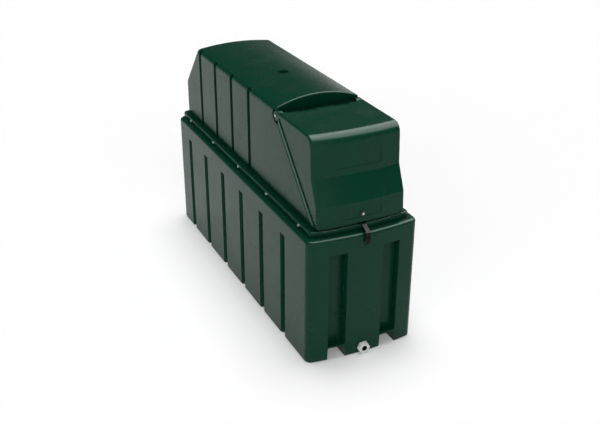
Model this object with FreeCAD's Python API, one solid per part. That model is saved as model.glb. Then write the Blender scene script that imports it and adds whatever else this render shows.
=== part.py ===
import FreeCAD, Part
import math
import os

# Slimline double-skinned heating oil tank. Millimetres, +Z up, long axis along Y, front end towards -Y.
# All shapes are drawn about the tub's own centre and moved by SHIFT_Y when they are written out.

V = FreeCAD.Vector

# Half widths, from the cover outwards
COVER_HALF = 257.0
LEDGE = 34.0              # flange beyond the cover's side
SHOULDER = 34.0           # tub beyond the flange
FLANGE_HALF = COVER_HALF + LEDGE
TUB_HALF = FLANGE_HALF + SHOULDER
HOOD_HALF = COVER_HALF

# Outer tub
TUB_END = 1015.0          # tub end at the centre line, front and back
BOW_R = 1900.0            # plan radius of every bowed end face
SWEEP = 20.0              # half angle that the bowed sections are swept through
TUB_TOP = 742.0           # height of the shoulder
TUB_CORNER = 40.0         # upright corner radius
TUB_WALL = 7.0
SHOULDER_R = 18.0
FOOT_R = 6.0

# Upright grooves in the long sides of the tub
RIB_FIRST_Y = 776.5
RIB_PITCH = 291.1
RIB_COUNT = 6
RIB_MOUTH = 58.0
RIB_FLOOR = 46.0
RIB_DEPTH = 18.0
RIB_TOP = 647.0

# Wide grooves in the end faces and the two channels under the floor
LANE_X = 158.0
END_MOUTH = 104.0
END_FLOOR = 92.0
END_DEPTH = 45.0
END_FOOT = 84.0
LANE_MOUTH = 107.0
LANE_ROOF = 99.0
LANE_HIGH = 76.0

# Flange between tub and cover
FLANGE_FRONT = -969.0     # at the centre line
FLANGE_BACK = 1013.0
FLANGE_TOP = 774.0
FLANGE_R = 8.0
SKIRT = 6.0
SKIRT_GAP = 1.0
UPSTAND_HALF = COVER_HALF - 7.0
UPSTAND_FRONT = -915.0
UPSTAND_BACK = 965.0

# Cover
COVER_WALL = 6.0
COVER_EDGE_Z = 1264.0     # where side wall and arch would meet without the rounding
COVER_BACK = 1003.0
COVER_EDGE_R = 33.0
COVER_BACK_R = 25.0
ARCH_Y = -442.0           # front face of the arch
ARCH_RISE = 52.0
BACK_RISE = 20.0
BACK_RISE_Y = 800.0
SLOPE_FOOT = (993.0, 1005.0)
SLOPE_HEAD = (768.0, 1264.0)
MOUTH_R = 8.0
MOUTH_BEND = 14.0
BEND_R = 50.0
DIMPLE = (-4.0, 30.0, 8.0)    # Y position, radius and depth of the round dip in the crown
FLUTE_FIRST_Y = 699.0
FLUTE_PITCH = 260.8
FLUTE_COUNT = 4
FLUTE_MOUTH = 40.0
FLUTE_FLOOR = 30.0
FLUTE_DEPTH = 20.0

# Sloping parting line between cover and hood, as (-NY*y + NZ*z = constant)
NY = 0.712
NZ = 0.702
COVER_CUT = 1179.6
HOOD_CUT = 1193.6
BEAD_CUT = 1217.6
LIP_CUT = 1255.0
LIP_STEP = 10.0
LIP_HALF = COVER_HALF - LIP_STEP
LIP_TOP = 1240.0
LIP_FRONT = -958.0

# Hood
HOOD_WALL = 5.0
HOOD_FRONT = -969.0
HOOD_FOOT = 788.0
HOOD_TOP = 1258.0
BAND_FOOT = (-963.0, 903.0)
BAND_HEAD = (-907.0, 1037.0)
NOSE = (-895.0, 1258.0)
NOSE_R = 57.0
HOOD_EDGE_R = 13.0
HOOD_REAR = -508.0
EAR_REACH = 52.0          # the straight part of the rear edge stops this far from the side
NOTCH = (100.0, 94.0, 26.0)     # place, width and depth of the two notches in the rear edge
PANEL_HIGH = (137.0, 1074.0, 1134.0)    # half width and heights of the two bare panels
PANEL_LOW = (114.0, 814.0, 868.0)
BEAD_PROUD = 5.0
PIVOT = (-462.0, 1236.0)
EAR_R = 28.0
POCKET_R = 45.0
PIN_R = 5.0
PIN_CLEAR = 0.08
BOSS_R = 18.0
BOSS_LONG = 25.0
BOSS_IN = LIP_HALF - BOSS_LONG
INSERT_R = 8.0

# Flange screws, each long side
SCREW_FIRST_Y = 830.0
SCREW_PITCH = 411.5
SCREW_COUNT = 5
SCREW_Z = 759.0
SCREW_R = 3.0
SCREW_LONG = 30.0
SCREW_FLATS = 13.0
SCREW_HEAD = 7.0

# Inner tank
TANK_GAP = 5.0
TANK_HALF = COVER_HALF - FLUTE_DEPTH - COVER_WALL - TANK_GAP
TANK_WALL = 6.0
TANK_FRONT = -890.0
TANK_BACK = 905.0
TANK_FOOT = 83.0
KEEL_GAP = 9.5
KEEL_HALF = LANE_X - LANE_MOUTH / 2 - TUB_WALL - KEEL_GAP
KEEL_FOOT = 12.0
DECK_Z = 930.0
TANK_OUTLINE = [(TANK_FRONT, 800.0), (-800.0, DECK_Z), (-545.0, DECK_Z), (-455.0, 1140.0),
                (-400.0, 1185.0), (690.0, 1185.0), (TANK_BACK, 960.0)]

# Outlet
OUT_Z = 38.0
OUT_BORE = 15.2
OUT_TUBE = 17.0
OUT_FLATS = 62.0
OUT_THICK = 21.0
GASKET = 3.0
HOLE_CLEAR = 0.4

# Lock strap and bracket
STRAP_W = 23.0
STRAP_T = 3.0
STRAP_HOLE = 5.5
PLATE_SCREWS = (-9.0, 9.0)
PLATE_SCREW_R = 2.0
LOCK_Y = -TUB_END - 19.0
LOCK_Z = 722.0
PLATE_FOOT = 676.0
PLATE_W = 30.0
STRAP_BOLT_Z = 832.0
STRAP_BOLT_R = 4.0

SHIFT_Y = (OUT_THICK + GASKET) / 2.0


def sag(half):
    return BOW_R - math.sqrt(BOW_R * BOW_R - half * half)


def box(x0, x1, y0, y1, z0, z1):
    return Part.makeBox(x1 - x0, y1 - y0, z1 - z0, V(x0, y0, z0))


def yz_prism(points, x0, x1):
    wire = Part.makePolygon([V(x0, y, z) for y, z in points + points[:1]])
    return Part.Face(wire).extrude(V(x1 - x0, 0, 0))


def xy_prism(points, z0, z1):
    wire = Part.makePolygon([V(x, y, z0) for x, y in points + points[:1]])
    return Part.Face(wire).extrude(V(0, 0, z1 - z0))


def xz_prism(points, y0, y1):
    wire = Part.makePolygon([V(x, y0, z) for x, z in points + points[:1]])
    return Part.Face(wire).extrude(V(0, y1 - y0, 0))


def cyl_x(y, z, r, x0, x1):
    return Part.makeCylinder(r, x1 - x0, V(x0, y, z), V(1, 0, 0))


def cyl_y(x, z, r, y0, y1):
    return Part.makeCylinder(r, y1 - y0, V(x, y0, z), V(0, 1, 0))


def cyl_z(x, y, r, z0, z1):
    return Part.makeCylinder(r, z1 - z0, V(x, y, z0), V(0, 0, 1))


def hexagon(centre, axis, flats, thick):
    # Hexagonal prism starting at centre and running along axis.
    a = V(*axis)
    u = V(0, 0, 1) if abs(a.z) < 0.5 else V(1, 0, 0)
    w = a.cross(u)
    r = flats / math.sqrt(3.0)
    pts = [V(*centre) + u * (r * math.sin(math.radians(60 * k))) + w * (r * math.cos(math.radians(60 * k)))
           for k in range(7)]
    return Part.Face(Part.makePolygon(pts)).extrude(a * thick)


def flat_edges(shape, z):
    found = []
    for e in shape.Edges:
        b = e.BoundBox
        if abs(b.ZMin - z) < 0.01 and abs(b.ZMax - z) < 0.01:
            found.append(e)
    return found


def upright_edges(shape, half):
    found = []
    for e in shape.Edges:
        b = e.BoundBox
        if b.ZLength > 1.0 and b.XLength < 0.01 and b.YLength < 0.01 and abs(abs(b.XMin) - half) < 0.01:
            found.append(e)
    return found


def fillet(shape, radius, edges):
    # Rounds the edges, or leaves the shape as it is where the kernel can't.
    if not edges:
        return shape
    try:
        out = shape.makeFillet(radius, edges)
        if out.isValid() and out.Volume > 0:
            return out
    except Exception:
        pass
    print("fillet left out", radius, len(edges))
    return shape


def plan_prism(half, front, back, corner, z0, z1):
    # Plan outline with straight sides and bowed ends; front and back are on the centre line.
    s = sag(half)
    a, b = V(-half, front + s, z0), V(half, front + s, z0)
    c, d = V(half, back - s, z0), V(-half, back - s, z0)
    edges = [Part.Arc(a, V(0, front, z0), b).toShape(), Part.LineSegment(b, c).toShape(),
             Part.Arc(c, V(0, back, z0), d).toShape(), Part.LineSegment(d, a).toShape()]
    solid = Part.Face(Part.Wire(edges)).extrude(V(0, 0, z1 - z0))
    return fillet(solid, corner, upright_edges(solid, half)) if corner else solid


def side_groove(side, y, half, mouth, floor, depth, z0, z1, grow=0.0):
    out = 10.0
    wide = mouth / 2 + (mouth - floor) / 2 * out / depth + grow
    thin = floor / 2 + grow
    pts = [(side * (half + out), y - wide), (side * (half - depth - grow), y - thin),
           (side * (half - depth - grow), y + thin), (side * (half + out), y + wide)]
    return xy_prism(pts, z0, z1)


def end_groove(end, x, grow=0.0):
    face = end * (TUB_END - sag(LANE_X))
    out = 20.0
    wide = END_MOUTH / 2 + (END_MOUTH - END_FLOOR) / 2 * out / END_DEPTH + grow
    thin = END_FLOOR / 2 + grow
    deep = face - end * (END_DEPTH + grow)
    pts = [(x - wide, face + end * out), (x - thin, deep), (x + thin, deep), (x + wide, face + end * out)]
    return xy_prism(pts, END_FOOT - grow, RIB_TOP + grow)


def lane(x, grow=0.0):
    low = LANE_MOUTH / 2 + grow
    high = LANE_ROOF / 2 + grow
    pts = [(x - low, -5.0), (x - high, LANE_HIGH + grow), (x + high, LANE_HIGH + grow), (x + low, -5.0)]
    return xz_prism(pts, -1100.0, 1100.0)


def rib_ys():
    return [RIB_FIRST_Y - RIB_PITCH * k for k in range(RIB_COUNT)]


def flute_ys():
    return [FLUTE_FIRST_Y - FLUTE_PITCH * k for k in range(FLUTE_COUNT)]


def screw_ys():
    return [SCREW_FIRST_Y - SCREW_PITCH * k for k in range(SCREW_COUNT)]


def screw_slots():
    # Upright slots that the flange screws pass through.
    r = SCREW_R + 0.2
    return [box(-300.0, 300.0, y - r, y + r, SCREW_Z - r - 0.6, SCREW_Z + r + 0.6) for y in screw_ys()]


def tub_cutters(grow):
    cut = []
    for side in (-1, 1):
        for y in rib_ys():
            cut.append(side_groove(side, y, TUB_HALF, RIB_MOUTH, RIB_FLOOR, RIB_DEPTH,
                                   -5.0, RIB_TOP + grow, grow))
        for end in (-1, 1):
            cut.append(end_groove(end, side * LANE_X, grow))
        cut.append(lane(side * LANE_X, grow))
    return cut


def bund_tub():
    outer = plan_prism(TUB_HALF, -TUB_END, TUB_END, TUB_CORNER, 0.0, TUB_TOP)
    outer = fillet(outer, SHOULDER_R, flat_edges(outer, TUB_TOP))
    outer = outer.makeChamfer(FOOT_R, flat_edges(outer, 0.0))
    outer = outer.cut(tub_cutters(0.0))
    w = TUB_WALL
    inner = plan_prism(TUB_HALF - w, -TUB_END + w, TUB_END - w, TUB_CORNER - w, w, TUB_TOP - w)
    inner = inner.cut(tub_cutters(w))
    top = FLANGE_TOP - SKIRT
    gap = SKIRT + SKIRT_GAP
    rim = plan_prism(FLANGE_HALF - gap, FLANGE_FRONT + gap, FLANGE_BACK - gap, 18.0, TUB_TOP - 2.0, top)
    hole = plan_prism(UPSTAND_HALF, UPSTAND_FRONT, UPSTAND_BACK, 12.0, TUB_TOP - w - 5.0, top + 5.0)
    tub = outer.fuse(rim).cut([inner, hole])
    holes = screw_slots()
    holes.append(cyl_y(0.0, OUT_Z, OUT_TUBE + HOLE_CLEAR, -TUB_END - 10.0, -TUB_END + 40.0))
    for x in PLATE_SCREWS:
        holes.append(cyl_y(x, PLATE_FOOT + 8.0, PLATE_SCREW_R + 0.1, -TUB_END - 10.0, -TUB_END + 30.0))
    return tub.cut(holes)


def arch_section(half, edge_z, rise, r, y, z0):
    # Upright section at y: straight sides, rounded shoulders and an arched top.
    big = (half * half + rise * rise) / (2 * rise)
    cz = edge_z + rise - big
    fx = half - r
    fz = cz + math.sqrt((big - r) ** 2 - fx * fx)
    k = big / (big - r)
    tx, tz = fx * k, cz + (fz - cz) * k
    mid = math.atan2(tz - fz, tx - fx) / 2
    mx, mz = fx + r * math.cos(mid), fz + r * math.sin(mid)

    def p(x, z):
        return V(x, y, z)
    edges = [Part.LineSegment(p(-half, z0), p(-half, fz)).toShape(),
             Part.Arc(p(-half, fz), p(-mx, mz), p(-tx, tz)).toShape(),
             Part.Arc(p(-tx, tz), p(0, edge_z + rise), p(tx, tz)).toShape(),
             Part.Arc(p(tx, tz), p(mx, mz), p(half, fz)).toShape(),
             Part.LineSegment(p(half, fz), p(half, z0)).toShape(),
             Part.LineSegment(p(half, z0), p(-half, z0)).toShape()]
    return Part.Wire(edges)


def rise_at(y):
    return ARCH_RISE + (BACK_RISE - ARCH_RISE) * (y - ARCH_Y) / (BACK_RISE_Y - ARCH_Y)


def arch_loft(inset, z0):
    wires = []
    for y in (-1000.0, 1040.0):
        wires.append(arch_section(COVER_HALF - inset, COVER_EDGE_Z - inset, rise_at(y),
                                  COVER_EDGE_R - inset, y, z0))
    return Part.makeLoft(wires, True, True)


def line_z(c, y):
    return (c + NY * y) / NZ


def ahead_of(c, x=400.0):
    # Everything on the hood's side of the sloping line with constant c.
    return yz_prism([(-2000.0, line_z(c, -2000.0)), (900.0, line_z(c, 900.0)), (900.0, 3000.0),
                     (-2000.0, 3000.0)], -x, x)


def behind_of(c, x=400.0):
    return yz_prism([(-2000.0, line_z(c, -2000.0)), (900.0, line_z(c, 900.0)), (900.0, -2500.0),
                     (-2000.0, -2500.0)], -x, x)


def rounded_wire(x, points):
    # Closed outline in the YZ plane; each point is (y, z) or (y, z, corner radius).
    n = len(points)
    cut = []
    for k in range(n):
        y, z = points[k][:2]
        r = points[k][2] if len(points[k]) > 2 else 0.0
        if not r:
            cut.append([(y, z)])
            continue
        sides = []
        for other in (points[k - 1], points[(k + 1) % n]):
            d = math.hypot(other[0] - y, other[1] - z)
            sides.append(((other[0] - y) / d, (other[1] - z) / d))
        half = math.acos(sides[0][0] * sides[1][0] + sides[0][1] * sides[1][1]) / 2
        back = r / math.tan(half)
        by, bz = sides[0][0] + sides[1][0], sides[0][1] + sides[1][1]
        size = math.hypot(by, bz)
        far = r / math.sin(half) - r
        cut.append([(y + sides[0][0] * back, z + sides[0][1] * back), (y + by / size * far, z + bz / size * far),
                    (y + sides[1][0] * back, z + sides[1][1] * back)])
    edges = []
    for k in range(n):
        here = [V(x, q[0], q[1]) for q in cut[k]]
        there = cut[(k + 1) % n][0]
        if len(here) == 3:
            edges.append(Part.Arc(*here).toShape())
        edges.append(Part.LineSegment(here[-1], V(x, there[0], there[1])).toShape())
    return Part.Wire(edges)


def back_sweep(inset, z0):
    # Upright back and sloping rear top, swept about an upright axis so that both are bowed.
    (fy, fz), (hy, hz) = SLOPE_FOOT, SLOPE_HEAD
    length = math.hypot(hy - fy, hz - fz)
    ny, nz = (hz - fz) / length, (fy - hy) / length
    run = (fy - hy) / (hz - fz)
    fy, fz = fy - ny * inset, fz - nz * inset
    face_y = COVER_BACK - inset
    bend_z = fz - (face_y - fy) / run
    top_y = fy - (1500.0 - fz) * run
    wire = rounded_wire(0.0, [(-1100.0, z0), (face_y, z0), (face_y, bend_z, BEND_R - inset), (top_y, 1500.0),
                              (-1100.0, 1500.0)])
    centre = V(0, COVER_BACK - BOW_R, 0)
    face = Part.Face(wire)
    near = face.common(Part.Face(Part.makePolygon([V(0, q, w) for q, w in
                                                   ((0, -2000), (2000, -2000), (2000, 2000), (0, 2000),
                                                    (0, -2000))])))
    near.rotate(centre, V(0, 0, 1), -SWEEP)
    swept = near.Faces[0].revolve(centre, V(0, 0, 1), 2 * SWEEP)
    return swept.fuse(box(-400.0, 400.0, -1100.0, hy - 168.0, z0, 1500.0))


def mouth_cut(inset):
    # What is taken off in front of the sloping line and in front of the arch.
    c = COVER_CUT - inset
    y = ARCH_Y + inset
    wire = rounded_wire(-400.0, [(-2000.0, line_z(c, -2000.0)), (y, line_z(c, y), MOUTH_BEND + inset),
                                 (y, 2500.0), (-2000.0, 2500.0)])
    return Part.Face(wire).extrude(V(800.0, 0, 0))


def cover_body(inset, z0):
    # The cover behind the parting line: arched loft, bowed back and sloping rear top.
    body = arch_loft(inset, z0).common(back_sweep(inset, z0))
    return body.cut(mouth_cut(inset))


def rear_edges(shape, half):
    # Edges round the bowed back and the sloping rear top.
    side, high = [], []
    for e in shape.Edges:
        b = e.BoundBox
        if b.YMin < 700.0 or b.ZLength < 5.0:
            continue
        if b.XLength < 0.1 and abs(abs(b.XMin) - half) < 0.1:
            side.append(e)
        elif b.ZMin > 1180.0:
            high.append(e)
    return side, high


def mouth_edges(shape):
    # Outer rim of the opening under the hood: the arch's front edge and the two sloping side edges.
    found = []
    for e in shape.Edges:
        b = e.BoundBox
        if b.YMax > ARCH_Y + 0.1 or b.ZLength < 1.0:
            continue
        on_side = abs(abs(b.XMin) - COVER_HALF) < 0.1 and b.XLength < 0.1
        if on_side or b.ZMin > 1236.0:
            found.append(e)
    return found


def crown_dip(grow):
    y, r, deep = DIMPLE
    ball = (r * r + deep * deep) / (2 * deep)
    return Part.makeSphere(ball + grow, V(0, y, COVER_EDGE_Z + rise_at(y) - deep + ball))


def lip_body(inset, front, z0):
    half, top, r = LIP_HALF - inset, LIP_TOP - inset, 16.0 - inset
    block = box(-half, half, -1100.0, ARCH_Y + 30.0, z0, top)
    edges = [e for e in block.Edges if e.BoundBox.YLength > 100 and abs(e.BoundBox.ZMin - top) < 0.01]
    block = fillet(block, r, edges)
    return block.common(plan_prism(FLANGE_HALF, front, 900.0, 0.0, z0, 1500.0))


def top_cover():
    plate = FLANGE_TOP - SKIRT
    flange = plan_prism(FLANGE_HALF, FLANGE_FRONT, FLANGE_BACK, 25.0, TUB_TOP + 1.0, FLANGE_TOP)
    flange = fillet(flange, FLANGE_R, flat_edges(flange, FLANGE_TOP))
    skirt = plan_prism(FLANGE_HALF - SKIRT, FLANGE_FRONT + SKIRT, FLANGE_BACK - SKIRT, 19.0,
                       TUB_TOP - 20.0, plate)
    flange = flange.cut(skirt)
    body = cover_body(0.0, plate)
    body = fillet(body, COVER_BACK_R, sum(rear_edges(body, COVER_HALF), []))
    body = fillet(body, MOUTH_R, mouth_edges(body))
    flutes = []
    for side in (-1, 1):
        for y in flute_ys():
            flutes.append(side_groove(side, y, COVER_HALF, FLUTE_MOUTH, FLUTE_FLOOR, FLUTE_DEPTH,
                                      FLANGE_TOP, 1500.0))
    body = body.cut(flutes + [crown_dip(0.0)])
    lip = lip_body(0.0, LIP_FRONT, plate).common(behind_of(LIP_CUT))
    y, z = PIVOT
    pockets = [cyl_x(y, z, POCKET_R, LIP_HALF, 320.0), cyl_x(y, z, POCKET_R, -320.0, -LIP_HALF)]
    solid = flange.fuse([body.cut(pockets), lip])
    bosses = []
    for x0 in (BOSS_IN, -LIP_HALF):
        x1 = x0 + LIP_HALF - BOSS_IN
        bosses += [cyl_x(y, z, BOSS_R, x0, x1), box(x0, x1, y, ARCH_Y + 3.0, z - BOSS_R, z + BOSS_R)]
    w = COVER_WALL
    inner = cover_body(w, 600.0)
    inner = fillet(inner, COVER_BACK_R - w, rear_edges(inner, COVER_HALF - w)[0])
    grown = []
    for side in (-1, 1):
        for fy in flute_ys():
            grown.append(side_groove(side, fy, COVER_HALF, FLUTE_MOUTH, FLUTE_FLOOR, FLUTE_DEPTH,
                                     FLANGE_TOP - w, 1500.0, w))
    grown += [cyl_x(y, z, POCKET_R + w, LIP_HALF - w, 320.0),
              cyl_x(y, z, POCKET_R + w, -320.0, -LIP_HALF + w), crown_dip(w)]
    inner = inner.cut(grown)
    hollow = lip_body(w, LIP_FRONT + w, 600.0)
    solid = solid.cut(inner).cut(hollow).fuse(bosses)
    holes = [cyl_x(y, z, INSERT_R + 0.02, -300.0, 300.0)]
    holes += screw_slots()
    holes.append(box(-24.0, 24.0, LIP_FRONT - 5.0, LIP_FRONT + w + 12.0, FLANGE_TOP, 900.0))
    return solid.cut(holes)


def hood_profile(x):
    y0, z0 = NOSE
    fy, fz = BAND_FOOT
    hy, hz = BAND_HEAD
    low = 600.0
    pts = [(HOOD_FRONT - (fy - HOOD_FRONT) * (HOOD_FOOT - low) / (fz - HOOD_FOOT), low), (fy, fz), (hy, hz)]
    ux, uz = y0 - hy, z0 - hz
    n = math.hypot(ux, uz)
    ux, uz = ux / n, uz / n
    tan_len = NOSE_R * math.tan((math.pi / 2 - math.atan2(ux, uz)) / 2)
    a = (y0 - ux * tan_len, z0 - uz * tan_len)
    b = (y0 + tan_len, z0)
    cx, cz = b[0], z0 - NOSE_R
    m = math.atan2(a[1] - cz, a[0] - cx)
    mid = (m + math.pi / 2) / 2
    mp = (cx + NOSE_R * math.cos(mid), cz + NOSE_R * math.sin(mid))

    def p(q):
        return V(x, q[0], q[1])
    rear = -380.0
    edges = [Part.LineSegment(p(pts[0]), p(pts[1])).toShape(), Part.LineSegment(p(pts[1]), p(pts[2])).toShape(),
             Part.LineSegment(p(pts[2]), p(a)).toShape(), Part.Arc(p(a), p(mp), p(b)).toShape(),
             Part.LineSegment(p(b), p((rear, z0))).toShape(),
             Part.LineSegment(p((rear, z0)), p((rear, low))).toShape(),
             Part.LineSegment(p((rear, low)), p(pts[0])).toShape()]
    return Part.Face(Part.Wire(edges))


def hood_block(inset):
    face = hood_profile(0.0)
    if inset:
        face = face.makeOffset2D(-inset)
        face = face if face.Faces else Part.Face(face)
    centre = V(0, HOOD_FRONT + BOW_R, 0)
    axis = V(0, 0, 1)
    face = face.copy()
    face.rotate(centre, axis, -SWEEP)
    swept = face.revolve(centre, axis, 2 * SWEEP)
    half = HOOD_HALF - inset
    body = swept.common(box(-half, half, -1200.0, -385.0, 700.0, 1500.0))
    return fillet(body, HOOD_EDGE_R - inset, hood_edges(body, half))


def hood_edges(shape, half):
    # The chain of edges up the front and back along the top, on both sides.
    found = []
    for e in shape.Edges:
        b = e.BoundBox
        if b.XLength > 0.05 or abs(abs(b.XMin) - half) > 0.05:
            continue
        if b.YMin < -800.0 and b.ZMax > 701.0:
            found.append(e)
    return found


def label_panel(skin, half, z0, z1):
    r = 8.0
    block = box(-half, half, -1100.0, -800.0, z0, z1)
    edges = [e for e in block.Edges if e.BoundBox.YLength > 100]
    return skin.common(fillet(block, r, edges))


def front_hood():
    outer = hood_block(0.0)
    skin = outer.cut(hood_block(2.5))
    panels = [label_panel(skin, *PANEL_HIGH), label_panel(skin, *PANEL_LOW)]
    inner = hood_block(HOOD_WALL)
    y, z = PIVOT
    keep = ahead_of(HOOD_CUT).common(box(-400, 400, -1500, y - 8.0, HOOD_FOOT, 2000))
    keep = keep.fuse(cyl_x(y, z, EAR_R, -400.0, 400.0))
    shell = outer.cut(inner).common(keep)
    wide, slim = HOOD_HALF - EAR_REACH, HOOD_HALF - HOOD_WALL - 0.1
    rear = xy_prism([(-wide, HOOD_REAR), (wide, HOOD_REAR), (slim, HOOD_REAR + 33.0), (slim, -300.0),
                     (-slim, -300.0), (-slim, HOOD_REAR + 33.0)], 1100.0, 1500.0)
    x, long, deep = NOTCH
    notches = [box(k * x - long / 2, k * x + long / 2, HOOD_REAR - deep, HOOD_REAR + 5.0, 1200.0, 1300.0)
               for k in (-1, 1)]
    shell = shell.cut([rear] + notches + panels)
    beads = []
    edge = hood_profile(0.0)
    for s in (-1, 1):
        slab = edge.copy()
        slab.translate(V(s * (HOOD_HALF - 2.0), sag(HOOD_HALF) + 3.0, 0))
        slab = slab.extrude(V(s * (BEAD_PROUD + 2.0), 0, 0))
        band = ahead_of(HOOD_CUT).common(behind_of(BEAD_CUT))
        band = band.common(box(-400, 400, -1200, -497.0, HOOD_FOOT, 1240.0))
        beads.append(slab.common(band))
    shell = shell.fuse(beads)
    holes = [cyl_x(y, z, PIN_R + PIN_CLEAR, -300.0, 300.0),
             cyl_y(0.0, STRAP_BOLT_Z, STRAP_BOLT_R + 0.2, -1000.0, -940.0)]
    return shell.cut(holes)


def inner_tank_block(inset):
    half = TANK_HALF - inset
    pts = [(TANK_FRONT, TANK_FOOT)] + TANK_OUTLINE + [(TANK_BACK, TANK_FOOT)]
    face = Part.Face(Part.makePolygon([V(0, y, z) for y, z in pts + pts[:1]]))
    if inset:
        face = face.makeOffset2D(-inset)
        face = face if face.Faces else Part.Face(face)
    face.translate(V(-half, 0, 0))
    body = face.extrude(V(2 * half, 0, 0))
    edges = upright_edges(body, half)
    body = fillet(body, 30.0 - inset, edges)
    keel = box(-KEEL_HALF + inset, KEEL_HALF - inset, TANK_FRONT + inset, TANK_BACK - inset,
               KEEL_FOOT + inset, TANK_FOOT + 20.0)
    return body.fuse(keel)


def inner_tank():
    tank = inner_tank_block(0.0).cut(inner_tank_block(TANK_WALL))
    holes = [cyl_y(0.0, OUT_Z, OUT_TUBE + HOLE_CLEAR, TANK_FRONT - 5.0, TANK_FRONT + 20.0)]
    for x, y, r in DECK_HOLES:
        holes.append(cyl_z(x, y, r, DECK_Z - 30.0, DECK_Z + 10.0))
    return tank.cut(holes)


# Fittings on the deck under the hood: (x, y, hole radius)
LID_AT = (-125.0, -672.0, 72.0)
FILL_AT = (25.0, -715.0, 27.0)
SENDER_AT = (25.0, -600.0, 22.0)
VENT_AT = (165.0, -720.0, 19.0)
PROBE_AT = (165.0, -610.0, 14.0)
DECK_HOLES = [LID_AT, FILL_AT, SENDER_AT, VENT_AT, PROBE_AT]


def ring_z(x, y, r_out, r_in, z0, z1):
    return cyl_z(x, y, r_out, z0, z1).cut(cyl_z(x, y, r_in, z0 - 1.0, z1 + 1.0))


def lid_ring():
    x, y, r = LID_AT
    ring = ring_z(x, y, r + 18.0, r - 6.0, DECK_Z, DECK_Z + 5.0)
    ring = ring.fuse(ring_z(x, y, r - 0.5, r - 6.0, DECK_Z - 20.0, DECK_Z + 22.0))
    return ring


def inspection_lid():
    x, y, r = LID_AT
    z0 = DECK_Z + 6.0
    lid = cyl_z(x, y, r + 10.0, z0, z0 + 24.0).cut(cyl_z(x, y, r + 0.5, z0 - 1.0, z0 + 18.0))
    for k in range(12):
        a = math.radians(30 * k)
        lid = lid.cut(cyl_z(x + (r + 13.0) * math.cos(a), y + (r + 13.0) * math.sin(a), 7.0, z0 - 1, z0 + 30))
    grip = box(x - 55.0, x + 55.0, y - 7.0, y + 7.0, z0 + 23.0, z0 + 38.0)
    return lid.fuse(grip)


def fill_neck():
    x, y, r = FILL_AT
    neck = ring_z(x, y, r - 0.5, r - 6.0, DECK_Z - 40.0, DECK_Z + 62.0)
    neck = neck.fuse(ring_z(x, y, r + 16.0, r - 6.0, DECK_Z, DECK_Z + 6.0))
    return neck.fuse(hexagon((x, y, DECK_Z + 6.0), (0, 0, 1), 2 * r + 8.0, 14.0).cut(
        cyl_z(x, y, r - 6.0, DECK_Z, DECK_Z + 40.0)))


def fill_cap():
    x, y, r = FILL_AT
    z0 = DECK_Z + 36.0
    cap = cyl_z(x, y, r + 7.0, z0, z0 + 32.0).cut(cyl_z(x, y, r, z0 - 1.0, DECK_Z + 63.0))
    for k in range(8):
        a = math.radians(45 * k)
        cap = cap.cut(cyl_z(x + (r + 9.0) * math.cos(a), y + (r + 9.0) * math.sin(a), 5.0, z0 - 1, z0 + 40))
    return cap.fuse(box(x - 26.0, x + 26.0, y - 5.0, y + 5.0, z0 + 31.0, z0 + 44.0))


def vent_pipe():
    x, y, r = VENT_AT
    pipe = ring_z(x, y, r - 0.5, r - 4.5, DECK_Z - 25.0, DECK_Z + 110.0)
    return pipe.fuse(ring_z(x, y, r + 13.0, r - 4.5, DECK_Z, DECK_Z + 6.0))


def vent_cowl():
    x, y, r = VENT_AT
    z1 = DECK_Z + 146.0
    dome = Part.makeCone(46.0, 30.0, 14.0, V(x, y, z1 - 12.0)).fuse(cyl_z(x, y, 46.0, z1 - 36.0, z1 - 12.0))
    dome = dome.cut(cyl_z(x, y, 42.0, z1 - 40.0, z1 - 12.0))
    hub = ring_z(x, y, r + 3.0, r, DECK_Z + 92.0, DECK_Z + 111.0)
    hub = hub.fuse(cyl_z(x, y, 4.0, DECK_Z + 110.0, z1 - 10.0))
    for k in range(3):
        a = 120.0 * k
        arm = box(2.0, r + 2.5, -2.5, 2.5, DECK_Z + 110.0, DECK_Z + 114.0)
        arm.rotate(V(0, 0, 0), V(0, 0, 1), a)
        arm.translate(V(x, y, 0))
        hub = hub.fuse(arm)
    return dome.fuse(hub)


def level_sender():
    x, y, r = SENDER_AT
    body = cyl_z(x, y, r + 16.0, DECK_Z, DECK_Z + 12.0).fuse(cyl_z(x, y, r - 0.5, DECK_Z - 30.0, DECK_Z + 1.0))
    case = box(x - 38.0, x + 38.0, y - 26.0, y + 26.0, DECK_Z + 12.0, DECK_Z + 66.0)
    case = fillet(case, 8.0, [e for e in case.Edges if e.BoundBox.ZLength > 10.0])
    return body.fuse(case)


def overfill_probe():
    x, y, r = PROBE_AT
    body = cyl_z(x, y, r - 0.5, DECK_Z - 130.0, DECK_Z + 1.0).fuse(cyl_z(x, y, r + 8.0, DECK_Z, DECK_Z + 5.0))
    body = body.fuse(hexagon((x, y, DECK_Z + 5.0), (0, 0, 1), 34.0, 12.0))
    return body.fuse(cyl_z(x, y, 15.0, DECK_Z + 17.0, DECK_Z + 52.0))


def cover_screws():
    # Hexagon-head screws through the flange, five on each long side.
    made = []
    for side in (-1, 1):
        for y in screw_ys():
            seat = V(side * FLANGE_HALF, y, SCREW_Z)
            shank = Part.makeCylinder(SCREW_R, SCREW_LONG, seat, V(-side, 0, 0))
            made.append(shank.fuse(hexagon(tuple(seat), (side, 0, 0), SCREW_FLATS, SCREW_HEAD)))
    return Part.makeCompound(made)


def pivot_bolts():
    y, z = PIVOT
    made = []
    for side in (-1, 1):
        seat = side * (HOOD_HALF + 0.3)
        b = Part.makeCylinder(PIN_R, 34.0, V(seat, y, z), V(-side, 0, 0))
        head = Part.makeSphere(13.0, V(seat - side * 6.0, y, z)).common(
            Part.makeCylinder(11.0, 9.0, V(seat, y, z), V(side, 0, 0)))
        made.append(b.fuse(head))
    return Part.makeCompound(made)


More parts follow.
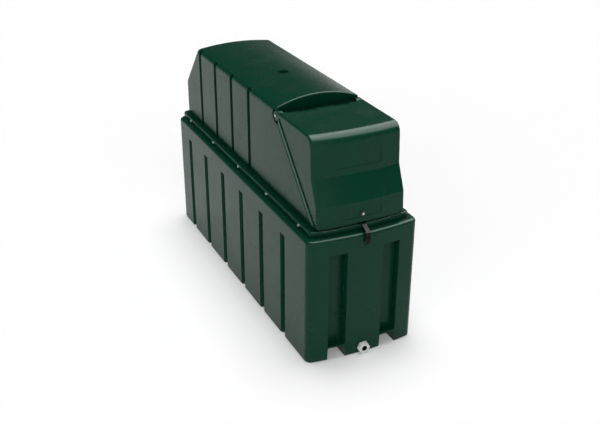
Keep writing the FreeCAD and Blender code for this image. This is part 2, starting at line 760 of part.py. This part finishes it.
def pivot_spacers():
    y, z = PIVOT
    made = []
    for side in (-1, 1):
        long = HOOD_HALF - HOOD_WALL - LIP_HALF - 0.1
        s = Part.makeCylinder(14.0, long, V(side * LIP_HALF, y, z), V(side, 0, 0))
        made.append(s.cut(Part.makeCylinder(PIN_R + 0.2, 20.0, V(side * (LIP_HALF - 2), y, z), V(side, 0, 0))))
    return Part.makeCompound(made)


def pivot_inserts():
    # Threaded inserts moulded into the cover's two bosses.
    y, z = PIVOT
    made = []
    for x0 in (BOSS_IN, -LIP_HALF):
        made.append(cyl_x(y, z, INSERT_R, x0, x0 + LIP_HALF - BOSS_IN).cut(cyl_x(y, z, PIN_R + 0.02, -300.0, 300.0)))
    return Part.makeCompound(made)


def strap_path():
    inner = HOOD_FRONT + 11.7
    low = FLANGE_TOP + 5.0
    return [(inner, STRAP_BOLT_Z + 20.0), (inner, low), (inner - 26.7, low), (LOCK_Y, low - 27.0),
            (LOCK_Y, LOCK_Z - 14.0)]


def lock_strap():
    # Flat bar with four bends, drawn as its edge outline and given its width.
    t = STRAP_T
    p = strap_path()
    pts = [(p[0][0], p[0][1]), (p[1][0], p[1][1] - t), (p[2][0] + 0.8, p[2][1] - t), (p[3][0] + t, p[3][1] - 1.8),
           (p[4][0] + t, p[4][1]), (p[4][0], p[4][1]), (p[3][0], p[3][1]), (p[2][0], p[2][1]),
           (p[1][0] - t, p[1][1]), (p[0][0] - t, p[0][1])]
    bar = yz_prism(pts, -STRAP_W / 2, STRAP_W / 2)
    low = [e for e in bar.Edges if e.BoundBox.YLength > t - 0.1 and e.BoundBox.YLength < t + 0.1
           and e.BoundBox.ZLength < 0.01 and abs(e.BoundBox.ZMin - p[4][1]) < 0.1 and e.BoundBox.XLength < 0.01]
    bar = fillet(bar, 10.0, low)
    return bar.cut([cyl_y(0.0, LOCK_Z, STRAP_HOLE, LOCK_Y - 10.0, LOCK_Y + 10.0),
                    cyl_y(0.0, STRAP_BOLT_Z, STRAP_BOLT_R + 0.2, p[0][0] - 10.0, p[0][0] + 10.0)])


def lock_bracket():
    # Angle plate on the tub whose upstanding ear stands just behind the strap.
    t = STRAP_T
    face = -TUB_END
    ear = LOCK_Y + 2 * t + 1.0
    step = PLATE_FOOT + 18.0
    pts = [(face, PLATE_FOOT), (face, step + t), (ear, step + t), (ear, LOCK_Z + 14.0), (ear - t, LOCK_Z + 14.0),
           (ear - t, step), (face - t, step), (face - t, PLATE_FOOT)]
    bar = yz_prism(pts, -PLATE_W / 2, PLATE_W / 2)
    holes = [cyl_y(0.0, LOCK_Z, STRAP_HOLE, ear - 10.0, ear + 5.0)]
    holes += [cyl_y(x, PLATE_FOOT + 8.0, PLATE_SCREW_R + 0.2, face - 10.0, face + 10.0) for x in PLATE_SCREWS]
    return bar.cut(holes)


def bracket_screws():
    made = []
    seat = -TUB_END - STRAP_T
    for x in PLATE_SCREWS:
        s = cyl_y(x, PLATE_FOOT + 8.0, PLATE_SCREW_R, seat, seat + 14.0)
        made.append(s.fuse(hexagon((x, seat, PLATE_FOOT + 8.0), (0, -1, 0), 7.0, 3.0)))
    return Part.makeCompound(made)


def strap_bolt():
    # Dome-headed bolt through the hood's front, with its wide washer in one piece.
    face = HOOD_FRONT + 2.0
    b = cyl_y(0.0, STRAP_BOLT_Z, STRAP_BOLT_R, face - 2.0, face + 26.0)
    b = b.fuse(cyl_y(0.0, STRAP_BOLT_Z, 15.0, face - 2.0, face + 0.3))
    head = Part.makeSphere(11.0, V(0, face + 3.0, STRAP_BOLT_Z)).common(
        cyl_y(0.0, STRAP_BOLT_Z, 9.0, face - 9.0, face - 2.0))
    return b.fuse(head)


def strap_nut():
    y0 = strap_path()[0][0]
    n = hexagon((0.0, y0, STRAP_BOLT_Z), (0, 1, 0), 13.0, 7.0)
    return n.cut(cyl_y(0.0, STRAP_BOLT_Z, STRAP_BOLT_R + 0.02, -1000.0, -900.0))


def outlet_fitting():
    front = -TUB_END - GASKET - OUT_THICK
    body = hexagon((0.0, front, OUT_Z), (0, 1, 0), OUT_FLATS, OUT_THICK)
    body = body.common(Part.makeCone(32.0, 32.0 + OUT_THICK, OUT_THICK, V(0, front, OUT_Z), V(0, 1, 0)))
    body = body.fuse(cyl_y(0.0, OUT_Z, OUT_TUBE, front + 1.0, TANK_FRONT + 24.0))
    return body.cut(cyl_y(0.0, OUT_Z, OUT_BORE, front - 5.0, TANK_FRONT + 40.0))


def outlet_gasket():
    g = cyl_y(0.0, OUT_Z, 35.0, -TUB_END - GASKET, -TUB_END)
    return g.cut(cyl_y(0.0, OUT_Z, OUT_TUBE + 0.1, -1100.0, -900.0))


def outlet_backnut():
    face = -TUB_END + TUB_WALL
    n = hexagon((0.0, face + 0.1, OUT_Z), (0, 1, 0), 48.0, 10.0)
    return n.cut(cyl_y(0.0, OUT_Z, OUT_TUBE + 0.02, -1100.0, -900.0))


def tank_nuts():
    made = []
    for y0, d in ((TANK_FRONT, -1), (TANK_FRONT + TANK_WALL, 1)):
        n = hexagon((0.0, y0, OUT_Z), (0, d, 0), 38.0, 9.0)
        made.append(n.cut(cyl_y(0.0, OUT_Z, OUT_TUBE + 0.02, -1100.0, -800.0)))
    return Part.makeCompound(made)


NODES = {
    "bund_tub": bund_tub, "inner_tank": inner_tank, "top_cover": top_cover,
    "cover_screws": cover_screws,
    "front_hood": front_hood, "pivot_bolts": pivot_bolts, "pivot_spacers": pivot_spacers,
    "pivot_inserts": pivot_inserts, "lock_strap": lock_strap, "strap_bolt": strap_bolt, "strap_nut": strap_nut,
    "lock_bracket": lock_bracket, "bracket_screws": bracket_screws,
    "outlet_fitting": outlet_fitting, "outlet_gasket": outlet_gasket, "outlet_backnut": outlet_backnut,
    "tank_nuts": tank_nuts, "lid_ring": lid_ring, "inspection_lid": inspection_lid,
    "fill_neck": fill_neck, "fill_cap": fill_cap, "vent_pipe": vent_pipe, "vent_cowl": vent_cowl,
    "level_sender": level_sender, "overfill_probe": overfill_probe,
}


def main():
    os.makedirs("parts", exist_ok=True)
    for name in NODES:
        shape = NODES[name]()
        shape.translate(V(0, SHIFT_Y, 0))
        if not shape.isValid():
            print("not valid", name)
        print(name, len(shape.Solids), round(shape.Volume / 1e3))
        shape.exportStep("parts/" + name + ".step")


main()
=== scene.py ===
import math

import bpy
from mathutils import Matrix, Vector


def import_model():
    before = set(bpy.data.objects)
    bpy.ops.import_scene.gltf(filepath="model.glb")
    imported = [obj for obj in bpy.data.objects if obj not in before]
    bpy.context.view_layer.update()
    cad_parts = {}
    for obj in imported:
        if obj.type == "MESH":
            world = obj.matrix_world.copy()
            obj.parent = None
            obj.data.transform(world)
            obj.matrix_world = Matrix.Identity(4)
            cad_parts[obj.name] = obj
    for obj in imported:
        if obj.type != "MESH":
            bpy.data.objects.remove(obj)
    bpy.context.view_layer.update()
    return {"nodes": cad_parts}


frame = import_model()
nodes = frame["nodes"]


# Places and sizes on the part, in metres

SHIFT_Y = 0.012                     # the outlet in front moves the tank back from the frame's middle
CROWN_DIP = (0.0, 0.008, 1.300)     # middle of the round dip
DIP_DARK_FADE = (0.048, 0.032)           # the darkening fades in between these distances from the dip's middle
BEAD_ACROSS = (-0.712, 0.702)       # y and z of the direction square to the hood's sloping edge
BEAD_MIDDLE = 1.1971                # how far along that direction the bead's middle lies
BEAD_HALF = 0.012
BEAD_FADE = 0.003
HOOD_SIDE = (0.249, 0.252)          # a face further out than this belongs to the hood's side
STRAP_BOLT = (0.0, 0.832)           # x and z
STRAP_CROWN_R = 0.0055
PIVOT_BOLTS = (-0.450, 1.236)       # y and z
PIVOT_CROWN_R = 0.0070
OUTLET = (0.0, 0.038)               # x and z
OUTLET_BORE_R = 0.0157

EDGE_HIGHLIGHT_R = 0.004                      # moulded edges that catch the light, lightened further as a painted highlight with a little wear
CORNER_SHADE_REACH = 0.06                 # painted shade darkens inner corners and grooves as far as this
CORNER_SHADE_START = (0.10, 0.16)         # below this height corners get no painted shade; it fades in up to the second
SPLASH_TOP = 0.03                   # pale dirt from the ground ends here


# Surroundings

FLOOR_HALF = 40.0
FLOOR_GLOW = 0.17
DIM_LIGHT = 0.03                    # the world's light on the part, from all round
BAND_TOP = 0.14                     # upper end of the pale band that gloss reflects, as the sine of its height
BAND_LIGHT = 0.90
SENSOR = 36.0
PHOTO_WIDTH = 600.0
FOCAL_PIXELS = 902.65
CAMERA_AT = (-2.0875, -4.540 + SHIFT_Y, 2.937)
LOOK_AT = (0.1089, SHIFT_Y, 0.3732)
ROLL = 0.15


def rgb(r, g, b):
    return (r, g, b, 1.0)


# dust colour, also used for the painted highlight on edges
GREEN_DUST_AND_HIGHLIGHT = rgb(0.035, 0.072, 0.052)
# painted shade for grooves and inner corners
CORNER_SHADE_GREEN = rgb(0.0004, 0.008, 0.005)
# painted highlight along the hood's bead
BEAD_HIGHLIGHT_GREEN = rgb(0.012, 0.115, 0.070)
# darker colour of the crown's round dip
DIP_GREEN = rgb(0.0006, 0.012, 0.007)
BRIGHT_STEEL = rgb(0.72, 0.74, 0.73)
POLYETHYLENE_IOR = 1.22             # lower than the real one, for the photo's weak reflections


# Material helpers

class Tree:
    """A node tree, with short calls for the nodes used here."""

    def __init__(self, nt, coordinates):
        self.nt = nt
        self.where = self.new("ShaderNodeTexCoord").outputs[coordinates]

    def new(self, kind, **values):
        node = self.nt.nodes.new(kind)
        for key, value in values.items():
            setattr(node, key, value)
        return node

    def put(self, socket, value):
        if isinstance(value, bpy.types.NodeSocket):
            self.nt.links.new(value, socket)
        else:
            socket.default_value = value

    def noise(self, scale, detail=2.0, rough=0.5, stretch=None):
        node = self.new("ShaderNodeTexNoise")
        node.inputs["Scale"].default_value = scale
        node.inputs["Detail"].default_value = detail
        node.inputs["Roughness"].default_value = rough
        where = self.where
        if stretch:
            mapping = self.new("ShaderNodeMapping")
            mapping.inputs["Scale"].default_value = stretch
            self.put(mapping.inputs["Vector"], where)
            where = mapping.outputs["Vector"]
        self.put(node.inputs["Vector"], where)
        return node.outputs["Fac"]

    def voronoi(self, scale):
        node = self.new("ShaderNodeTexVoronoi")
        node.inputs["Scale"].default_value = scale
        self.put(node.inputs["Vector"], self.where)
        return node.outputs["Distance"]

    def math(self, op, a, b=0.0, c=0.0):
        node = self.new("ShaderNodeMath", operation=op)
        for socket, value in zip(node.inputs, (a, b, c)):
            self.put(socket, value)
        return node.outputs[0]

    def span(self, value, lo, hi, a=0.0, b=1.0):
        """a where value is lo, b where it is hi, and level beyond them."""
        node = self.new("ShaderNodeMapRange")
        names = ("Value", "From Min", "From Max", "To Min", "To Max")
        for key, v in zip(names, (value, lo, hi, a, b)):
            self.put(node.inputs[key], v)
        return node.outputs[0]

    def mix(self, factor, a, b):
        node = self.new("ShaderNodeMix", data_type="RGBA")
        self.put(node.inputs["Factor"], factor)
        self.put(node.inputs[6], a)
        self.put(node.inputs[7], b)
        return node.outputs[2]

    def axis(self, name, vector=None):
        """X, Y or Z of a vector, or else of the shaded point."""
        node = self.new("ShaderNodeSeparateXYZ")
        self.put(node.inputs[0], self.where if vector is None else vector)
        return node.outputs[name]

    def off_axis(self, names, centre):
        """Distance of the shaded point from a line through centre, along the axis that isn't named."""
        squares = [self.math("POWER", self.math("SUBTRACT", self.axis(name), c), 2.0)
                   for name, c in zip(names, centre)]
        return self.math("SQRT", self.math("ADD", *squares))


class Material(Tree):
    """A new material and its node tree."""

    def __init__(self, name):
        self.mat = bpy.data.materials.new(name)
        self.mat.use_nodes = True
        super().__init__(self.mat.node_tree, "Object")
        self.bsdf = self.nt.nodes["Principled BSDF"]

    def bump(self, layers):
        """layers is a list of (height, strength, distance in metres)."""
        last = None
        for value, strength, distance in layers:
            node = self.new("ShaderNodeBump")
            node.inputs["Strength"].default_value = strength
            node.inputs["Distance"].default_value = distance
            self.put(node.inputs["Height"], value)
            if last is not None:
                self.put(node.inputs["Normal"], last)
            last = node.outputs["Normal"]
        self.put(self.bsdf.inputs["Normal"], last)

    def edges(self, radius):
        """1 on sharp edges, 0 elsewhere."""
        bevel = self.new("ShaderNodeBevel", samples=4)
        bevel.inputs["Radius"].default_value = radius
        geo = self.new("ShaderNodeNewGeometry")
        dot = self.new("ShaderNodeVectorMath", operation="DOT_PRODUCT")
        self.put(dot.inputs[0], bevel.outputs["Normal"])
        self.put(dot.inputs[1], geo.outputs["Normal"])
        return self.span(dot.outputs["Value"], 0.99, 0.85)

    def crevice(self, reach):
        """1 on open faces, towards 0 in grooves and inner corners."""
        node = self.new("ShaderNodeAmbientOcclusion", samples=8)
        node.inputs["Distance"].default_value = reach
        return node.outputs["AO"]

    def set(self, **values):
        names = {"color": "Base Color", "metallic": "Metallic", "rough": "Roughness", "ior": "IOR",
                 "spec": "Specular IOR Level"}
        for key, value in values.items():
            self.put(self.bsdf.inputs[names[key]], value)


# Materials

def dust_film(t, cloud):
    """Thin dust in clouds, thicker on faces that lie flat, with faint streaks down the walls."""
    streak = t.noise(14.0, 3.0, 0.6, stretch=(1.0, 1.0, 0.12))
    normal = t.new("ShaderNodeNewGeometry").outputs["Normal"]
    lying = t.span(t.axis("Z", normal), 0.6, 1.0)
    film = t.math("MULTIPLY", t.span(cloud, 0.45, 0.75), t.math("MULTIPLY_ADD", lying, 0.02, 0.03))
    return t.math("ADD", film, t.span(streak, 0.60, 0.8, 0.0, 0.02))


def bead_sides(t):
    """1 on the raised bead along the hood's sloping edge, on the hood's two sides only."""
    y, z = BEAD_ACROSS
    across = t.math("MULTIPLY_ADD", t.axis("Y"), y, t.math("MULTIPLY", t.axis("Z"), z))
    off = t.math("ABSOLUTE", t.math("SUBTRACT", across, BEAD_MIDDLE))
    near = t.span(off, BEAD_HALF, BEAD_HALF - BEAD_FADE)
    side = t.span(t.math("ABSOLUTE", t.axis("X")), *HOOD_SIDE)
    return t.math("MULTIPLY", near, side)


def dip_darkening(t, cloud):
    """1 in the crown's round dip, with an uneven edge."""
    off = t.new("ShaderNodeVectorMath", operation="DISTANCE")
    t.put(off.inputs[0], t.where)
    off.inputs[1].default_value = CROWN_DIP
    uneven = t.math("ADD", off.outputs["Value"], t.math("MULTIPLY", cloud, 0.012))
    return t.span(uneven, *DIP_DARK_FADE)


def rotomoulded(name, base, deep, dust, rough, dip=False, bead=False):
    """Polyethylene from a rotating mould: satin skin, fine pits, slow waves in the wall, a little dust, edges
    lightened as a painted highlight with a little wear, painted shade in grooves and inner corners, a painted
    highlight along the hood's bead, and a darker round dip on the cover.
    """
    t = Material(name)
    slow = t.noise(2.2)
    cloud = t.noise(9.0, 3.0, 0.55)
    grain = t.noise(900.0, 2.0, 0.6)
    pits = t.voronoi(420.0)
    film = dust_film(t, cloud)
    col = t.mix(t.span(cloud, 0.3, 0.7), base, deep)
    col = t.mix(film, col, dust)
    splash = t.math("ADD", t.axis("Z"), t.math("MULTIPLY", cloud, -0.03))
    col = t.mix(t.span(splash, 0.0, SPLASH_TOP, 0.22, 0.0), col, dust)
    # Painted highlight, with a little wear: sharp edges are lightened towards the dust colour.
    col = t.mix(t.math("MULTIPLY", t.edges(EDGE_HIGHLIGHT_R), 0.30), col, dust)
    # Painted shade: grooves and inner corners are darkened from the ambient occlusion, above the heights set.
    corner_shade = t.span(t.crevice(CORNER_SHADE_REACH), 0.85, 0.25, 0.0, 0.75)
    col = t.mix(t.math("MULTIPLY", corner_shade, t.span(t.axis("Z"), *CORNER_SHADE_START)), col, CORNER_SHADE_GREEN)
    # Painted highlight: the raised bead on the hood's two sides is lightened.
    if bead:
        col = t.mix(t.math("MULTIPLY", bead_sides(t), 0.5), col, BEAD_HIGHLIGHT_GREEN)
    # The crown's round dip is darkened and loses its gloss.
    if dip:
        dip_dark = dip_darkening(t, cloud)
        col = t.mix(t.math("MULTIPLY", dip_dark, 0.8), col, DIP_GREEN)
        t.set(spec=t.span(dip_dark, 0.0, 1.0, 0.5, 0.0))
    satin = t.span(cloud, 0.3, 0.7, rough - 0.03, rough + 0.03)
    t.set(color=col, ior=POLYETHYLENE_IOR, rough=t.math("ADD", satin, t.math("MULTIPLY", film, 0.25)))
    t.bump([(slow, 0.20, 0.012), (grain, 0.05, 0.0005), (t.span(pits, 0.0, 0.25), 0.02, 0.0005)])
    return t.mat


def zinc(name):
    """Zinc plating with dull patches."""
    t = Material(name)
    patch = t.noise(260.0, 3.0, 0.6)
    brush = t.noise(500.0, stretch=(1.0, 1.0, 6.0))
    col = t.mix(t.span(patch, 0.45, 0.75), BRIGHT_STEEL, rgb(0.48, 0.50, 0.50))
    t.set(color=col, metallic=1.0, rough=t.span(patch, 0.3, 0.7, 0.3, 0.48))
    t.bump([(brush, 0.12, 0.0003)])
    return t.mat


def painted_black(name):
    """Black paint on steel, worn through in places along the edges."""
    t = Material(name)
    peel = t.noise(380.0)
    blotch = t.noise(40.0, 3.0, 0.6)
    wear = t.math("MULTIPLY", t.edges(0.0012), t.span(blotch, 0.45, 0.6))
    col = t.mix(t.span(blotch, 0.3, 0.7), rgb(0.005, 0.006, 0.006), rgb(0.009, 0.010, 0.010))
    col = t.mix(t.math("MULTIPLY", wear, 0.5), col, rgb(0.28, 0.28, 0.27))
    t.set(color=col, rough=t.span(blotch, 0.3, 0.7, 0.26, 0.38), spec=0.08)
    t.bump([(peel, 0.12, 0.0004)])
    return t.mat


def crowned_bolt(name, axes, centre, crown_r):
    """Domed bolt with its washer: a bright worn crown, black round it."""
    t = Material(name)
    worn = t.noise(420.0, 3.0, 0.6)
    reach = t.math("ADD", t.off_axis(axes, centre), t.math("MULTIPLY", worn, 0.0015))
    crown = t.span(reach, crown_r + 0.002, crown_r)
    col = t.mix(crown, rgb(0.006, 0.008, 0.007), BRIGHT_STEEL)
    t.set(color=col, metallic=crown, rough=t.span(worn, 0.3, 0.7, 0.28, 0.42))
    t.bump([(worn, 0.10, 0.0004)])
    return t.mat


def plastic(name, base, deep, rough, grain_scale=700.0, grain=0.12, bore=False):
    """Injection-moulded plastic or rubber with a fine grain. A bore is darkened as painted shade."""
    t = Material(name)
    cloud = t.noise(30.0, 3.0, 0.6)
    fine = t.noise(grain_scale, 2.0, 0.6)
    col = t.mix(t.span(cloud, 0.3, 0.7), base, deep)
    col = t.mix(t.math("MULTIPLY", t.edges(0.0015), 0.2), col, rgb(0.35, 0.35, 0.34))
    if bore:
        # Painted shade: the outlet's bore is darkened and keeps little gloss.
        bore_shade = t.math("LESS_THAN", t.off_axis("XZ", OUTLET), OUTLET_BORE_R)
        col = t.mix(bore_shade, col, t.mix(cloud, rgb(0.010, 0.011, 0.010), rgb(0.035, 0.036, 0.032)))
        t.set(spec=t.span(bore_shade, 0.0, 1.0, 0.5, 0.1))
    t.set(color=col, rough=t.span(cloud, 0.3, 0.7, rough - 0.05, rough + 0.06))
    t.bump([(fine, grain, 0.0005)])
    return t.mat


def brass(name):
    """Turned brass with darker patches."""
    t = Material(name)
    patch = t.noise(60.0, 3.0, 0.6)
    turned = t.noise(300.0, stretch=(1.0, 1.0, 9.0))
    col = t.mix(t.span(patch, 0.4, 0.75), rgb(0.72, 0.54, 0.27), rgb(0.42, 0.29, 0.13))
    t.set(color=col, metallic=1.0, rough=t.span(patch, 0.3, 0.7, 0.26, 0.42))
    t.bump([(turned, 0.10, 0.0003)])
    return t.mat


def paint(names, mat):
    for name in names:
        mesh = nodes[name].data
        mesh.materials.clear()
        mesh.materials.append(mat)


GREEN = rotomoulded("green_plastic", rgb(0.0016, 0.046, 0.0245), rgb(0.0014, 0.040, 0.0215),
                    GREEN_DUST_AND_HIGHLIGHT, 0.25)
COVER = rotomoulded("green_cover_plastic", rgb(0.0016, 0.046, 0.0245), rgb(0.0014, 0.040, 0.0215),
                    GREEN_DUST_AND_HIGHLIGHT, 0.25, dip=True)
HOOD = rotomoulded("green_hood_plastic", rgb(0.0017, 0.048, 0.0255), rgb(0.0015, 0.042, 0.0225),
                   GREEN_DUST_AND_HIGHLIGHT, 0.25, bead=True)
TANK = rotomoulded("black_tank_plastic", rgb(0.012, 0.013, 0.013), rgb(0.018, 0.019, 0.019),
                   rgb(0.12, 0.12, 0.11), 0.48)
ZINC = zinc("zinc_plated_steel")
BLACK = painted_black("black_painted_steel")
DARK = plastic("black_moulded_plastic", rgb(0.014, 0.014, 0.015), rgb(0.022, 0.022, 0.024), 0.48)
GREY = plastic("grey_moulded_plastic", rgb(0.22, 0.23, 0.24), rgb(0.27, 0.28, 0.29), 0.5)
PALE = plastic("pale_fitting", rgb(0.84, 0.86, 0.83), rgb(0.74, 0.76, 0.73), 0.36,
               grain_scale=500.0, grain=0.08, bore=True)
RUBBER = plastic("black_rubber", rgb(0.010, 0.010, 0.010), rgb(0.018, 0.018, 0.018), 0.7)
BRASS = brass("turned_brass")

paint(["bund_tub"], GREEN)
paint(["top_cover"], COVER)
paint(["front_hood"], HOOD)
paint(["inner_tank"], TANK)
paint(["cover_screws", "strap_nut"], ZINC)
paint(["strap_bolt"], crowned_bolt("strap_bolt_steel", "XZ", STRAP_BOLT, STRAP_CROWN_R))
paint(["pivot_bolts"], crowned_bolt("pivot_bolt_steel", "YZ", PIVOT_BOLTS, PIVOT_CROWN_R))
paint(["lock_strap", "lock_bracket", "bracket_screws"], BLACK)
paint(["pivot_spacers", "lid_ring", "inspection_lid", "fill_cap", "vent_pipe", "vent_cowl"], DARK)
paint(["level_sender"], GREY)
paint(["outlet_fitting", "outlet_backnut", "tank_nuts"], PALE)
paint(["outlet_gasket"], RUBBER)
paint(["fill_neck", "overfill_probe", "pivot_inserts"], BRASS)


# Floor, world, lamps and camera

def either(t, path, *rays):
    """1 for a ray of one of the kinds named, 0 for the others."""
    seen = path.outputs[rays[0]]
    for ray in rays[1:]:
        seen = t.math("MAXIMUM", seen, path.outputs[ray])
    return seen


def floor():
    """Pale floor that looks a little brighter to the eye and in gloss than its own light makes it."""
    s = FLOOR_HALF
    mesh = bpy.data.meshes.new("floor")
    mesh.from_pydata([(-s, -s, 0), (s, -s, 0), (s, s, 0), (-s, s, 0)], [], [(0, 1, 2, 3)])
    obj = bpy.data.objects.new("floor", mesh)
    bpy.context.scene.collection.objects.link(obj)
    t = Material("pale_floor")
    t.set(color=t.mix(t.noise(3.0), rgb(0.86, 0.86, 0.86), rgb(0.88, 0.88, 0.88)), rough=0.9, spec=0.0)
    seen = either(t, t.new("ShaderNodeLightPath"), "Is Camera Ray", "Is Glossy Ray", "Is Transmission Ray")
    glow = t.new("ShaderNodeEmission")
    glow.inputs["Strength"].default_value = FLOOR_GLOW
    dark = t.new("ShaderNodeEmission")
    dark.inputs["Strength"].default_value = 0.0
    pick = t.new("ShaderNodeMixShader")
    t.put(pick.inputs[0], seen)
    t.put(pick.inputs[1], dark.outputs[0])
    t.put(pick.inputs[2], glow.outputs[0])
    both = t.new("ShaderNodeAddShader")
    t.put(both.inputs[0], t.bsdf.outputs[0])
    t.put(both.inputs[1], pick.outputs[0])
    t.put(t.nt.nodes["Material Output"].inputs["Surface"], both.outputs[0])
    mesh.materials.append(t.mat)


def world():
    """White to the camera, a pale band low down in gloss, and a dim light on all the rest."""
    studio = bpy.data.worlds.new("studio")
    bpy.context.scene.world = studio
    studio.use_nodes = True
    t = Tree(studio.node_tree, "Generated")
    path = t.new("ShaderNodeLightPath")
    band = t.span(t.axis("Z"), 0.0, BAND_TOP, BAND_LIGHT, 0.0)
    light = t.math("MULTIPLY_ADD", either(t, path, "Is Glossy Ray", "Is Transmission Ray"), band, DIM_LIGHT)
    background = t.nt.nodes["Background"]
    background.inputs["Color"].default_value = rgb(1, 1, 1)
    t.put(background.inputs["Strength"], t.math("MAXIMUM", light, path.outputs["Is Camera Ray"]))


def sun(name, direction, power, spread, diffuse=True):
    """A lamp far away in the direction given, spread in degrees. Without diffuse it shows only in gloss."""
    lamp = bpy.data.lights.new(name, "SUN")
    lamp.energy = power
    lamp.angle = math.radians(spread)
    obj = bpy.data.objects.new(name, lamp)
    obj.rotation_euler = Vector(direction).normalized().to_track_quat("Z", "Y").to_euler()
    obj.visible_diffuse = diffuse
    bpy.context.scene.collection.objects.link(obj)


def camera():
    """The photograph's viewpoint, with its focal length in pixels turned into millimetres."""
    cam = bpy.data.cameras.new("camera")
    cam.sensor_width = SENSOR
    cam.sensor_fit = "HORIZONTAL"
    cam.lens = FOCAL_PIXELS / PHOTO_WIDTH * SENSOR
    cam.clip_end = 100.0
    obj = bpy.data.objects.new("camera", cam)
    here = Vector(CAMERA_AT)
    turn = (Vector(LOOK_AT) - here).to_track_quat("-Z", "Y").to_matrix().to_4x4()
    roll = Matrix.Rotation(math.radians(ROLL), 4, "Z")
    obj.matrix_world = Matrix.Translation(here) @ turn @ roll
    bpy.context.scene.collection.objects.link(obj)
    bpy.context.scene.camera = obj


floor()
world()
sun("top_light", (0.06, 0.13, 0.99), power=2.35, spread=36.0)
sun("front_fill", (-0.50, -0.82, 0.32), power=1.50, spread=90.0)
sun("long_softbox", (0.46, 0.06, 0.88), power=10.5, spread=70.0, diffuse=False)
camera()

view = bpy.context.scene.view_settings
view.view_transform = "Standard"
